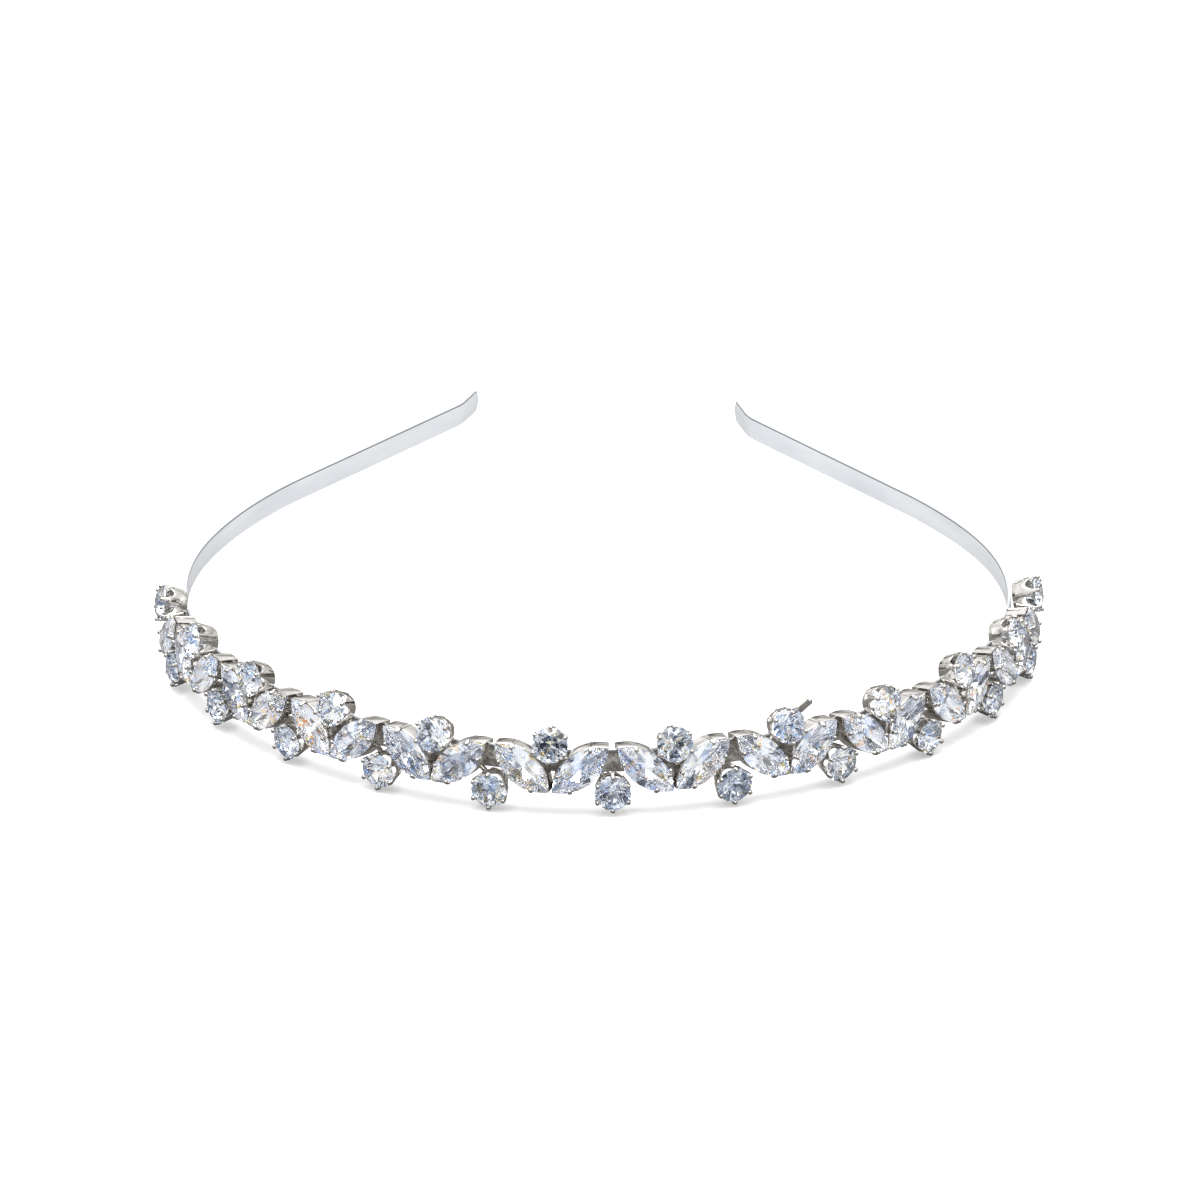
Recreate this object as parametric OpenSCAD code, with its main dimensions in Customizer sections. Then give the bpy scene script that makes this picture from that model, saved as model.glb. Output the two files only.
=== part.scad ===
// Crystal headband: a flat spring-steel band, bent into an open loop, with claw-set stones along its front.
// It lies on its lower round settings. X runs from ear to ear, the tips point to +Y, and Z is up.
// The origin is on the surface that it lies on, under the middle of its box.

/* [Band] */
// Width of the steel strip
band_width = 3.4; // [2.8:0.1:3.6]
// Thickness of the steel strip
band_thickness = 0.5; // [0.4:0.05:0.6]
// Bend radius at the crown, left and right of the middle
crown_radius = [45, 49]; // [44:0.5:52]
// Length of the crown's arc, left and right
crown_length = [18, 17]; // [14:0.5:20]
// Bend radius over the sides of the head, left and right
side_radius = [68, 64.5]; // [62:0.5:70]
// Length of each side's arc
side_length = [96.5, 106.5]; // [94:0.5:108]
// Bend radius where each arm straightens out
arm_radius = [92, 98]; // [85:1:110]
// Length of that arc
arm_length = [29.5, 20]; // [15:0.5:35]
// Length of the straight stretch before each tip
straight_length = [39, 38.5]; // [20:0.5:45]
// Bend radius of the turned-out tips
tip_radius = 8; // [6:0.5:12]
// How far each tip turns out, in degrees
tip_turn = [16, 20]; // [5:1:30]
// Length of each tip past its bend
tip_length = [6, 6.5]; // [4:0.5:9]

/* [Stones] */
// Number of round stones in the upper row
upper_count = 12; // [4:1:12]
// Distance between round stones, along the middle of the band
pitch = 16; // [15.9:0.05:16.3]
// How far the jewelled stretch sits off the middle of the band
jewel_shift = 4.8; // [-5:0.1:5]
// Diameter of the round stones
round_diameter = 5.1; // [4.8:0.05:5.2]
// Length of the marquise stones
marquise_length = 10.1; // [9.6:0.05:10.2]
// Width of the marquise stones
marquise_width = 4.8; // [4.4:0.05:4.9]
// Slope of the marquise stones along the band, in degrees
marquise_slope = 39.5; // [38:0.5:41]

/* [Settings] */
// Thickness of the sheet that the cups are pressed from
cup_wall = 0.28; // [0.2:0.01:0.3]
// Height of the upper cups' bases above the middle of the band
upper_base_height = 2.8; // [2.7:0.05:3]
// Depth of the lower cups' bases below the middle of the band
lower_base_depth = 3.25; // [3.2:0.05:3.4]
// How far the round cups' bases stand off the middle of the band
round_stand_off = 0.6; // [0.55:0.01:0.7]

/* [Hidden] */
$fn = 48;

// How far a cutter reaches past the solid that it cuts
overcut = 1;

lower_count = upper_count - 1;
marquise_count = 2 * lower_count;

function two_digits(number) = number < 10 ? str("0", number) : str(number);
function numbered(name, count) = [for (i = [1:count]) str(name, "_", two_digits(i))];

// Handmade spread of the round cups: how far the face tips up, the angle of the first claw, and how far
// the cup sits to the right of its place and above it
LEAN = 0;
TURN = 1;
SLIDE = 2;
LIFT = 3;
upper_hand = [
    [8, 92, 0, 0], [10, 93, 0, 0.2], [12, 88, -0.05, -0.15], [13, 87, 0.15, 0.1],
    [9, 90, 0.2, 0], [13, 87, -0.1, 0.05], [11, 93, 0, -0.05], [13, 93, -0.1, 0.3],
    [9, 90, -0.15, 0.2], [12, 92, 0, 0.1], [10, 88, -0.15, 0.05], [8, 90, -0.1, 0.15]
];
// The lower faces dip a little, and one claw of each points straight down.
lower_hand = [
    [-5, 90, 0, 0], [-4, 90, -0.05, 0.05], [-6, 90, 0, 0.05], [-4, 90, 0, -0.2],
    [-6, 90, 0, -0.1], [-4, 90, -0.05, 0.1], [-5, 90, 0.05, 0], [-4, 90, 0, 0.05],
    [-6, 90, 0.05, -0.15], [-4, 90, 0.05, -0.1], [-5, 90, 0, -0.1]
];
// How far each marquise sits above its place
marquise_hand = [
    0, 0.1, 0.05, 0, -0.05, -0.1, -0.15, -0.15, -0.1, 0, 0,
    0, 0.15, 0.15, 0, 0, -0.1, -0.1, 0, 0, 0, 0
];
// The upper cup with a claw that was never pressed down, which claw it is, and its angle
open_cup = 8;
open_claw = 5;
open_angle = 47;

// Round cup: heights are from its base, and a claw's points are [distance from the axis, height]
round_radius = round_diameter / 2;
round_girdle = 3.4;
cup_rim = round_girdle - 0.45;
cup_base_radius = 1.8;
scallop_radius = 0.92;
scallop_start = 1;
claw_count = 6;
claw_step = 360 / claw_count;
claw_radius = 0.18;
knee_radius = 0.2;
claw_bead = 0.3;
claw_foot = [2.2, 1.8];
claw_knee = [round_radius + 0.28, round_girdle + 0.1];
claw_tip = [round_radius, round_girdle + 0.48];
open_tip = [round_radius + 1.8, round_girdle + 1.3];

// Marquise cup: heights are from its back, and a claw's points are [distance outside the outline, height].
// Its face tips up, so its back stands off the band, and it sits nearer to the valley than to the peak.
marquise_lean = 6;
marquise_stand_off = 0.52;
marquise_girdle = 3.27;
marquise_rim = marquise_girdle - 0.32;
marquise_shift = 0.25;
marquise_lift = -0.42;
marquise_claw_spread = 3.1;
marquise_claw_foot = [0.02, 0.9];
marquise_claw_knee = [0.22, marquise_girdle + 0.14];
marquise_claw_tip = [-0.28, marquise_girdle + 0.58];
marquise_bead = 0.3;

// A marquise is the overlap of two circles: their radius, and how far each centre is from its long axis
marquise_arc = (marquise_length ^ 2 + marquise_width ^ 2) / (4 * marquise_width);
marquise_centre = marquise_arc - marquise_width / 2;

// Solder: a link from each round cup to the marquise cups beside it, and a bar, given by its length and radius,
// where two marquise cups meet in the valley
solder_radius = 0.38;
solder_height = 0.62;
solder_start = cup_base_radius + 0.1;
upper_link = 3.2;
lower_link = 3.3;
valley_bar = [1.2, 0.3];
valley_bar_depth = 2.9;

// Cut of the stones: shares are of the outline's own size, and heights are from the girdle
table_share = 0.56;
star_share = 0.8;
keel_share = 0.3;
girdle_half = 0.06;
round_crown = 0.78;
round_pavilion = 2.15;
marquise_crown = 0.68;
marquise_pavilion = 1.85;
facet = 45;
// These heights keep the kite facets flat.
star_height = (1 - star_share * cos(facet / 2)) / (1 - table_share);
keel_height = 1 - keel_share * cos(facet / 2);

// Numbers of short facets that follow the band's bends
crown_facets = 8;
side_facets = 36;
arm_facets = 8;
tip_facets = 6;

// The middle line of each half of the band, from the crown to the tip. Each stretch has its bend radius
// (0 is straight), its length, and its number of facets.
LEFT = 0;
RIGHT = 1;
halves = [
    for (h = [LEFT, RIGHT]) [
        [crown_radius[h], crown_length[h], crown_facets],
        [side_radius[h], side_length[h], side_facets],
        [arm_radius[h], arm_length[h], arm_facets],
        [0, straight_length[h], 1],
        [-tip_radius, tip_radius * tip_turn[h] * PI / 180, tip_facets],
        [0, tip_length[h], 1]
    ]
];
last_stretch = len(halves[RIGHT]) - 1;

// A place is [x, y, heading]. This one is reached by following a bend for the given run.
function after(place, radius, run) =
    radius == 0
        ? place + [run * cos(place[2]), run * sin(place[2]), 0]
        : let (heading = place[2] + run / radius * 180 / PI)
          [
              place.x + radius * (sin(heading) - sin(place[2])),
              place.y + radius * (cos(place[2]) - cos(heading)),
              heading
          ];

function start_of(half, k) =
    k == 0 ? [0, 0, 0] : after(start_of(half, k - 1), half[k - 1][0], half[k - 1][1]);

function along(half, run, k = 0) =
    run <= half[k][1] || k == last_stretch
        ? after(start_of(half, k), half[k][0], run)
        : along(half, run - half[k][1], k + 1);

// Place at a signed distance from the crown. The left half is drawn like the right one, then mirrored.
function station(s) =
    s < 0
        ? let (p = along(halves[LEFT], -s)) [-p.x, p.y, -p[2]]
        : along(halves[RIGHT], s);

// The zigzag dips to a valley under each upper stone and rises to a peak over each lower one.
function valley(i) = (i - (upper_count + 1) / 2) * pitch + jewel_shift;
function peak(i) = valley(i) + pitch / 2;

// The lowest claws touch the surface, and the middle of the box is over the origin.
function claw_depth(hand) = lower_base_depth - hand[LIFT]
    + claw_knee[0] * cos(hand[LEAN]) - claw_knee[1] * sin(hand[LEAN]) + knee_radius;
lowest_claw = max([for (hand = lower_hand) claw_depth(hand)]);
box_middle = [0.71, 72.71];

module resting() {
    translate([-box_middle.x, -box_middle.y, lowest_claw])
        children();
}

// Stands a setting on the band: its Z points away from the head, and its Y is up.
module on_band(s, height = 0, stand_off = 0) {
    p = station(s);
    resting()
        translate([p.x, p.y, height])
            rotate([90, 0, p[2]])
                translate([0, 0, stand_off])
                    children();
}

module at_upper(i) {
    hand = upper_hand[i - 1];
    on_band(valley(i) + hand[SLIDE], upper_base_height + hand[LIFT], round_stand_off)
        rotate([-hand[LEAN], 0, 0])
            children();
}

module at_lower(i) {
    hand = lower_hand[i - 1];
    on_band(peak(i) + hand[SLIDE], hand[LIFT] - lower_base_depth, round_stand_off)
        rotate([-hand[LEAN], 0, 0])
            children();
}

// Marquises 1, 3, 5 and so on climb from a valley, and 2, 4, 6 come down from the peak to the next valley.
module at_marquise(j) {
    climbs = j % 2 == 1;
    offset_from_valley = pitch / 4 - marquise_shift;
    s = climbs
        ? valley((j + 1) / 2) + offset_from_valley
        : valley(j / 2 + 1) - offset_from_valley;
    on_band(s, marquise_lift + marquise_hand[j - 1], marquise_stand_off)
        rotate([-marquise_lean, 0, 0])
            rotate(climbs ? marquise_slope : -marquise_slope)
                children();
}

// A rod between two points of the XZ plane
module rod(from, to, radius) {
    run = to - from;
    translate([from[0], 0, from[1]])
        rotate([0, atan2(run[0], run[1]), 0])
            cylinder(r = radius, h = norm(run));
}

module bead(at, radius) {
    translate([at[0], 0, at[1]])
        sphere(r = radius);
}

// Places along a half, from the crown to the tip
function places(half) = [
    for (k = [0:last_stretch], n = [1:half[k][2]])
        after(start_of(half, k), half[k][0], n / half[k][2] * half[k][1])
];

function beside(place, out) = [place.x + out * sin(place[2]), place.y - out * cos(place[2])];
function reversed(list) = [for (k = [len(list) - 1:-1:0]) list[k]];

// One face of the strip, from the left tip to the right tip
function face_line(out) =
    let (
        left = [for (p = places(halves[LEFT])) beside(p, out)],
        right = [for (p = places(halves[RIGHT])) beside(p, out)]
    )
    concat([for (p = reversed(left)) [-p.x, p.y]], [[0, -out]], right);

// What is cut off the tip of a half, drawn on the right, to round its end in the plane of the strip
module tip_rounding(half) {
    half_places = places(half);
    tip = half_places[len(half_places) - 1];
    end_radius = 0.6 * band_width;
    end_trim = 0.05;
    translate([tip.x, tip.y, 0])
        rotate([90, 0, tip[2]])
            translate([-end_radius - end_trim, 0, -band_width])
                difference() {
                    translate([0, -band_width])
                        cube([band_width, 2 * band_width, 2 * band_width]);
                    translate([0, 0, -overcut])
                        cylinder(r = end_radius, h = 2 * band_width + 2 * overcut);
                }
}

module band() {
    color("silver")
        resting()
            difference() {
                translate([0, 0, -band_width / 2])
                    linear_extrude(band_width)
                        polygon(concat(
                            face_line(band_thickness / 2),
                            reversed(face_line(-band_thickness / 2))
                        ));
                tip_rounding(halves[RIGHT]);
                mirror([1, 0, 0])
                    tip_rounding(halves[LEFT]);
            }
}

// A claw that stands on the cup's wall and ends in a bead over the stone's edge
module round_claw() {
    rod(claw_foot, claw_knee, claw_radius);
    bead(claw_knee, knee_radius);
    rod(claw_knee, claw_tip, claw_radius);
    bead(claw_tip, claw_bead);
}

module unpressed_claw() {
    rod(claw_foot, claw_knee, claw_radius);
    bead(claw_knee, knee_radius);
    rod(claw_knee, open_tip, claw_radius);
    bead(open_tip, claw_bead);
}

// A flared cup whose wall is cut into scallops between the claws
module round_cup(turn, has_open_claw = false) {
    difference() {
        rotate_extrude()
            polygon([
                [cup_base_radius - cup_wall, 0],
                [cup_base_radius, 0],
                [round_radius, cup_rim],
                [round_radius - cup_wall, cup_rim]
            ]);
        for (k = [0:claw_count - 1])
            rotate(turn + (k + 0.5) * claw_step)
                translate([scallop_start, 0, cup_rim])
                    rotate([0, 90, 0])
                        cylinder(r = scallop_radius, h = round_radius);
    }
    for (k = [0:claw_count - 1])
        if (has_open_claw && k == open_claw)
            rotate(open_angle)
                unpressed_claw();
        else
            rotate(turn + k * claw_step)
                round_claw();
}

// The marquise outline, grown or shrunk by the given amount
module marquise_outline(grow) {
    intersection() {
        translate([0, -marquise_centre])
            circle(r = marquise_arc + grow, $fn = 120);
        translate([0, marquise_centre])
            circle(r = marquise_arc + grow, $fn = 120);
    }
}

module marquise_claw() {
    across = sqrt(marquise_arc ^ 2 - marquise_claw_spread ^ 2);
    translate([marquise_claw_spread, across - marquise_centre, 0])
        rotate(atan2(across, marquise_claw_spread)) {
            rod(marquise_claw_foot, marquise_claw_knee, claw_radius);
            bead(marquise_claw_knee, knee_radius);
            rod(marquise_claw_knee, marquise_claw_tip, claw_radius);
            bead(marquise_claw_tip, marquise_bead);
        }
}

// A thin wall that follows the stone's outline, open at the back, with a claw near each end of each side
module marquise_cup() {
    difference() {
        linear_extrude(marquise_rim)
            marquise_outline(0);
        translate([0, 0, -overcut])
            linear_extrude(marquise_rim + 2 * overcut)
                marquise_outline(-cup_wall);
    }
    for (x = [0, 1], y = [0, 1])
        mirror([x, 0, 0])
            mirror([0, y, 0])
                marquise_claw();
}

// A link of solder from the side of a round cup to a marquise cup
module solder_link(angle, reach) {
    rotate(angle)
        rod([solder_start, solder_height], [reach, solder_height], solder_radius);
}

// The V of one valley, with the upper cup in it and the lower cup to its right
module claw_cluster(i) {
    has_left = i > 1;
    has_right = i < upper_count;
    towards_cup = 90 - marquise_slope;
    color("lightgray") {
        at_upper(i) {
            round_cup(upper_hand[i - 1][TURN], i == open_cup);
            if (has_left)
                solder_link(180 + towards_cup, upper_link);
            if (has_right)
                solder_link(-towards_cup, upper_link);
        }
        if (has_left)
            at_marquise(2 * i - 2)
                marquise_cup();
        if (has_right) {
            at_marquise(2 * i - 1)
                marquise_cup();
            at_lower(i) {
                round_cup(lower_hand[i - 1][TURN]);
                solder_link(180 - towards_cup, lower_link);
            }
        }
        if (has_left && has_right)
            on_band(valley(i), -valley_bar_depth, marquise_stand_off + solder_height)
                rotate([0, 90, 0])
                    cylinder(r = valley_bar[1], h = valley_bar[0], center = true);
    }
}

function round_edge(angle) = round_radius * [cos(angle), sin(angle)];
function marquise_edge(angle) =
    let (x = marquise_length / 2 * cos(angle))
    [x, sign(sin(angle)) * (sqrt(marquise_arc ^ 2 - x ^ 2) - marquise_centre)];
function lifted(points, share, height) = [for (p = points) [share * p.x, share * p.y, height]];

// A brilliant cut: table, star points, girdle, lower facets and culet, closed by a hull
module cut_stone(corners, halfway, crown, pavilion) {
    girdle = concat(corners, halfway);
    points = concat(
        lifted(corners, table_share, girdle_half + crown),
        lifted(halfway, star_share, girdle_half + crown * star_height),
        lifted(girdle, 1, girdle_half),
        lifted(girdle, 1, -girdle_half),
        lifted(halfway, keel_share, -girdle_half - pavilion * keel_height),
        [[0, 0, -girdle_half - pavilion]]
    );
    hull()
        polyhedron(points = points, faces = [[for (k = [0:len(points) - 1]) k]]);
}

module round_stone() {
    color("aliceblue")
        translate([0, 0, round_girdle])
            cut_stone(
                [for (a = [0:facet:359]) round_edge(a)],
                [for (a = [facet / 2:facet:359]) round_edge(a)],
                round_crown,
                round_pavilion
            );
}

module marquise_stone() {
    color("aliceblue")
        translate([0, 0, marquise_girdle])
            cut_stone(
                [for (a = [0:facet:359]) marquise_edge(a)],
                [for (a = [facet / 2:facet:359]) marquise_edge(a)],
                marquise_crown,
                marquise_pavilion
            );
}

band();

for (i = [1:upper_count])
    claw_cluster(i);

for (i = [1:upper_count])
    at_upper(i)
            round_stone();

for (i = [1:lower_count])
    at_lower(i)
            round_stone();

for (j = [1:marquise_count])
    at_marquise(j)
            marquise_stone();
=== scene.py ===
import math

import bmesh
import bpy
from mathutils import Matrix, Vector


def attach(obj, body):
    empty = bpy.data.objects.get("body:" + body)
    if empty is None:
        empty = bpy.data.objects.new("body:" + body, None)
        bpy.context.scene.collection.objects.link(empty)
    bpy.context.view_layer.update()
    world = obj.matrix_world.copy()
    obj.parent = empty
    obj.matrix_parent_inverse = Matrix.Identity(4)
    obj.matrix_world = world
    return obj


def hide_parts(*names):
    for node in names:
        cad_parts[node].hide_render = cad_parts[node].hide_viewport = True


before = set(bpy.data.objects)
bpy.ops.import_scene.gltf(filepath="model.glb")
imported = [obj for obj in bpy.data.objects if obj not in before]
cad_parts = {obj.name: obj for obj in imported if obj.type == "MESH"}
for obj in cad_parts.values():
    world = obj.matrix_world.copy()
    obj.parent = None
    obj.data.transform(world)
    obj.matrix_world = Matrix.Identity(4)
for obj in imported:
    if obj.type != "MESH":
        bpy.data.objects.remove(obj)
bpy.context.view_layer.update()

MM = 0.001
LEFT = 0
RIGHT = 1

# Sizes of the strip in millimetres, as the solids have them
BAND_WIDTH = 3.4
BAND_THICKNESS = 0.5
BAND_EDGE = 0.17
END_RADIUS = 0.6 * BAND_WIDTH
END_TRIM = 0.05
TIP_BEND = 8
# Stretches of the left half and of the right one, from the crown to the tip: bend radius and length. The
# radius is 0 where the strip is straight, and less than 0 where it turns outwards.
STRETCHES = [
    [(45, 18), (68, 96.5), (92, 29.5), (0, 39), (-TIP_BEND, TIP_BEND * math.radians(16)), (0, 6)],
    [(49, 17), (64.5, 106.5), (98, 20), (0, 38.5), (-TIP_BEND, TIP_BEND * math.radians(20)), (0, 6.5)],
]
# Sections of the strip: how far apart they are, how many round off an end, and the last one's half width
SECTION_SPACING = 1.1
END_SECTIONS = 10
LAST_HALF_WIDTH = 0.04
# Where a section is narrow, its rounded edges take this share of its half width
NARROW_EDGE_SHARE = 0.8
EDGE_STEPS = 4
# In the strip's own UV, going round it: the middle of its top edge, the way from there to the middle of its
# lower edge, and where its outer face starts
EDGE_MIDDLE = 0.35
EDGE_TO_EDGE = 3.75
OUTER_FACE_FROM = 4.35
# How far round from the middle of an edge its metal is bare, and where the lacquer is whole
BARE_TO = 0.2
LACQUERED_FROM = 0.3

# How the jewels sit along the strip
UPPER_COUNT = 12
LOWER_COUNT = UPPER_COUNT - 1
PITCH = 16
JEWEL_SHIFT = 4.8
SLOPE = 39.5
UPPER_BASE = 2.8
LOWER_BASE = -3.25
STAND_OFF = 0.6
BOX_MIDDLE = (0.71, 72.71)
BAND_MIDDLE_HEIGHT = 6.805
# Middle of the loop where the stones are, in metres
LOOP_MIDDLE = (0.0, -0.012, 0.0)
# How far from the middle of the jewels the painted shade behind them starts to fade, and where it ends
GAP_SHADE_REACH = PITCH * (UPPER_COUNT - 1) / 2
GAP_SHADE_END = GAP_SHADE_REACH + 6

# Handmade spread of the round cups: lean of the face, first claw's angle, shift to the right, and lift
UPPER_HAND = [
    (8, 92, 0, 0), (10, 93, 0, 0.2), (12, 88, -0.05, -0.15), (13, 87, 0.15, 0.1),
    (9, 90, 0.2, 0), (13, 87, -0.1, 0.05), (11, 93, 0, -0.05), (13, 93, -0.1, 0.3),
    (9, 90, -0.15, 0.2), (12, 92, 0, 0.1), (10, 88, -0.15, 0.05), (8, 90, -0.1, 0.15),
]
LOWER_HAND = [
    (-5, 90, 0, 0), (-4, 90, -0.05, 0.05), (-6, 90, 0, 0.05), (-4, 90, 0, -0.2),
    (-6, 90, 0, -0.1), (-4, 90, -0.05, 0.1), (-5, 90, 0.05, 0), (-4, 90, 0, 0.05),
    (-6, 90, 0.05, -0.15), (-4, 90, 0.05, -0.1), (-5, 90, 0, -0.1),
]
# Handmade lift of each marquise cup
MARQUISE_HAND = [
    0, 0.1, 0.05, 0, -0.05, -0.1, -0.15, -0.15, -0.1, 0, 0,
    0, 0.15, 0.15, 0, 0, -0.1, -0.1, 0, 0, 0, 0,
]

# Round settings. A claw's points are (distance from the axis, height above the cup's base).
ROUND_RADIUS = 2.55
ROUND_GIRDLE = 3.4
CUP_RIM = ROUND_GIRDLE - 0.45
CUP_BASE_RADIUS = 1.8
CUP_WALL = 0.28
SCALLOP_RADIUS = 0.92
CLAW_COUNT = 6
CLAW_ROOT = (1.93, 0.5)
CLAW_FOOT = (2.26, 1.8)
CLAW_KNEE = (ROUND_RADIUS + 0.15, ROUND_GIRDLE + 0.1)
CLAW_TIP = (ROUND_RADIUS - 0.08, ROUND_GIRDLE + 0.46)
# One claw of one upper cup was never pressed down.
OPEN_CUP = 8
OPEN_CLAW = 5
OPEN_ANGLE = 47
OPEN_TIP = (ROUND_RADIUS + 1.8, ROUND_GIRDLE + 1.3)

# Marquise settings. A claw's points are (distance outside the outline, height above the cup's back).
MARQUISE_LENGTH = 10.1
MARQUISE_WIDTH = 4.8
MARQUISE_ARC = (MARQUISE_LENGTH**2 + MARQUISE_WIDTH**2) / (4 * MARQUISE_WIDTH)
MARQUISE_CENTRE = MARQUISE_ARC - MARQUISE_WIDTH / 2
MARQUISE_LEAN = 6
MARQUISE_STAND_OFF = 0.52
MARQUISE_GIRDLE = 3.27
MARQUISE_RIM = MARQUISE_GIRDLE - 0.32
MARQUISE_SHIFT = 0.25
MARQUISE_LIFT = -0.42
MARQUISE_CLAW_SPREAD = 3.1
# Root, foot, knee and tip of a claw
MARQUISE_CLAW = [
    (-0.04, 0.3),
    (-0.02, 2.7),
    (0.15, MARQUISE_GIRDLE + 0.1),
    (-0.3, MARQUISE_GIRDLE + 0.58),
]

# Steps round the wall of a cup, and the share of the wall that each of its corners is rounded by
ROUND_CUP_STEPS = 144
MARQUISE_CUP_STEPS = 96
WALL_CORNER_SHARE = 0.45
CORNER_STEPS = 3

# A claw is a flat prong that narrows from its root to its bead.
PRONG_WIDTH = 0.55
PRONG_THICKNESS = 0.21
PRONG_CORNER_SHARE = 0.4
PRONG_BEND = 0.25
PRONG_BEND_STEPS = 5
# How many times wider a prong is at its root, and the share of its length where it stops narrowing
ROUND_PRONG_FLARE = 1.7
MARQUISE_PRONG_FLARE = 1.15
TAPER_END = 0.75
BEAD_RADIUS = 0.33
BEAD_SEGMENTS = 18
BEAD_RINGS = 12
OPEN_PRONG_WIDTH = 0.95
OPEN_PRONG_THICKNESS = 0.48
OPEN_PRONG_FLARE = 1.2

# Solder
SOLDER_RADIUS = 0.38
SOLDER_HEIGHT = 0.62
SOLDER_SIDES = 20
SOLDER_STATIONS = 11
# Share by which a link widens where it wets a cup, and the power that keeps this to its ends
SOLDER_WETTING = 0.25
SOLDER_CURL = 3.0
UPPER_LINK = 3.2
LOWER_LINK = 3.3
VALLEY_BAR_LENGTH = 1.2
VALLEY_BAR_RADIUS = 0.3
VALLEY_BAR_DEPTH = -2.9

# Node trees


def add(tree, kind, inputs=None, **settings):
    """A node with its settings. Each input is a value, a socket, or a node whose first output feeds it."""
    made = tree.nodes.new(kind)
    for name, value in settings.items():
        setattr(made, name, value)
    for socket, value in (inputs or {}).items():
        if isinstance(value, bpy.types.Node):
            value = value.outputs[0]
        if isinstance(value, bpy.types.NodeSocket):
            tree.links.new(value, made.inputs[socket])
        else:
            made.inputs[socket].default_value = value
    return made


def maths(tree, operation, *values):
    """Result of a Math node on up to three numbers"""
    return add(tree, "ShaderNodeMath", dict(enumerate(values)), operation=operation).outputs["Value"]


def vector_maths(tree, operation, *values):
    """Result of a Vector Math node, which is a number for a length and for a dot product"""
    made = add(tree, "ShaderNodeVectorMath", dict(enumerate(values)), operation=operation)
    return made.outputs["Value" if operation in ("LENGTH", "DOT_PRODUCT") else "Vector"]


def scaled(tree, vector, factor):
    """A vector times a number"""
    made = add(tree, "ShaderNodeVectorMath", {0: vector, "Scale": factor}, operation="SCALE")
    return made.outputs["Vector"]


def ranged(tree, value, start, end, first=0.0, last=1.0):
    """A number that goes from first to last while the value goes from start to end, and no further"""
    return add(tree, "ShaderNodeMapRange", {
        "Value": value, "From Min": start, "From Max": end, "To Min": first, "To Max": last,
    }).outputs["Result"]


def between(tree, factor, first, second):
    """A number on the way from one to another"""
    made = add(tree, "ShaderNodeMix", {"Factor": factor, 2: first, 3: second}, data_type="FLOAT")
    return made.outputs[0]


def mixed(tree, factor, first, second):
    """A colour on the way from one to another"""
    made = add(tree, "ShaderNodeMix", {"Factor": factor, 6: first, 7: second}, data_type="RGBA")
    return made.outputs[2]


def noise(tree, place, scale, detail=2.0, roughness=0.5):
    """Smooth noise between 0 and 1, whose scale is the number of its waves to a unit of the place"""
    return add(tree, "ShaderNodeTexNoise", {
        "Vector": place, "Scale": scale, "Detail": detail, "Roughness": roughness,
    }).outputs["Fac"]


def linear(colour):
    """The linear colour of an sRGB hex value such as "#c8ccd0"."""
    parts = [int(colour[k:k + 2], 16) / 255 for k in (1, 3, 5)]
    return [p / 12.92 if p <= 0.04045 else ((p + 0.055) / 1.055) ** 2.4 for p in parts] + [1.0]


def coloured(tree, share, stops, interpolation="LINEAR"):
    """The colour at a share of the way along a ramp, whose stops are (share, sRGB hex value)"""
    made = add(tree, "ShaderNodeValToRGB", {"Fac": share})
    ramp = made.color_ramp
    ramp.interpolation = interpolation
    for element, (position, colour) in zip(ramp.elements, (stops[0], stops[-1])):
        element.position = position
        element.color = linear(colour)
    for position, colour in stops[1:-1]:
        ramp.elements.new(position).color = linear(colour)
    return made.outputs["Color"]


# Materials


def new_material(name):
    """An empty material, and its tree"""
    made = bpy.data.materials.new(name)
    made.use_nodes = True
    made.node_tree.nodes.clear()
    return made, made.node_tree


def plated_metal():
    """Cast brass with a bright rhodium-look plating: mirror-like and slightly warm, with faint ripples."""
    made, tree = new_material("plated_cast_brass")
    place = add(tree, "ShaderNodeTexCoord").outputs["Object"]
    # Stains of the plating bath, about 1.5 mm across
    stains = noise(tree, place, 650.0, 3.0)
    # Ripples of the casting under the plating, about half a millimetre apart
    ripples = noise(tree, place, 1800.0)
    bump = add(tree, "ShaderNodeBump", {"Height": ripples, "Strength": 0.25, "Distance": 0.00004})
    shader = add(tree, "ShaderNodeBsdfPrincipled", {
        "Base Color": coloured(tree, stains, [(0.3, "#c9c6c2"), (0.7, "#eae8e5")]),
        "Metallic": 1.0,
        "Roughness": ranged(tree, stains, 0.3, 0.7, 0.12, 0.03),
        "Normal": bump,
    })
    add(tree, "ShaderNodeOutputMaterial", {"Surface": shader})
    return made


def painted_gap_shade(tree, place, spot, on_outer):
    """Share and colour of the painted shade on the outer face behind the jewels, in the gaps between the
    settings
    """
    off_middle = maths(tree, "SUBTRACT", spot.outputs["X"], JEWEL_SHIFT)
    apart = maths(tree, "ABSOLUTE", off_middle)
    in_stretch = ranged(tree, apart, GAP_SHADE_END, GAP_SHADE_REACH)
    # Painted shade in patches about 1 mm across, with lighter flecks between them
    patches = add(tree, "ShaderNodeMapping", {"Vector": place, "Scale": (0.9, 0.9, 1.0)})
    shade_blotch = noise(tree, patches, 1.0, 4.0, 0.7)
    gap_shade_tone = coloured(tree, shade_blotch, [(0.45, "#a19b95"), (0.6, "#f0eeeb")])
    return maths(tree, "MULTIPLY", on_outer, in_stretch), gap_shade_tone


def bare_edge(tree, spot):
    """Share of bare metal, by how far round the section a point is from the middle of the nearer edge"""
    round_it = maths(tree, "SUBTRACT", spot.outputs["Y"], EDGE_MIDDLE)
    from_edge = maths(tree, "WRAP", round_it, EDGE_TO_EDGE)
    off_face = maths(tree, "ABSOLUTE", maths(tree, "SUBTRACT", from_edge, EDGE_TO_EDGE / 2))
    return ranged(tree, off_face, EDGE_TO_EDGE / 2 - LACQUERED_FROM, EDGE_TO_EDGE / 2 - BARE_TO)


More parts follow.
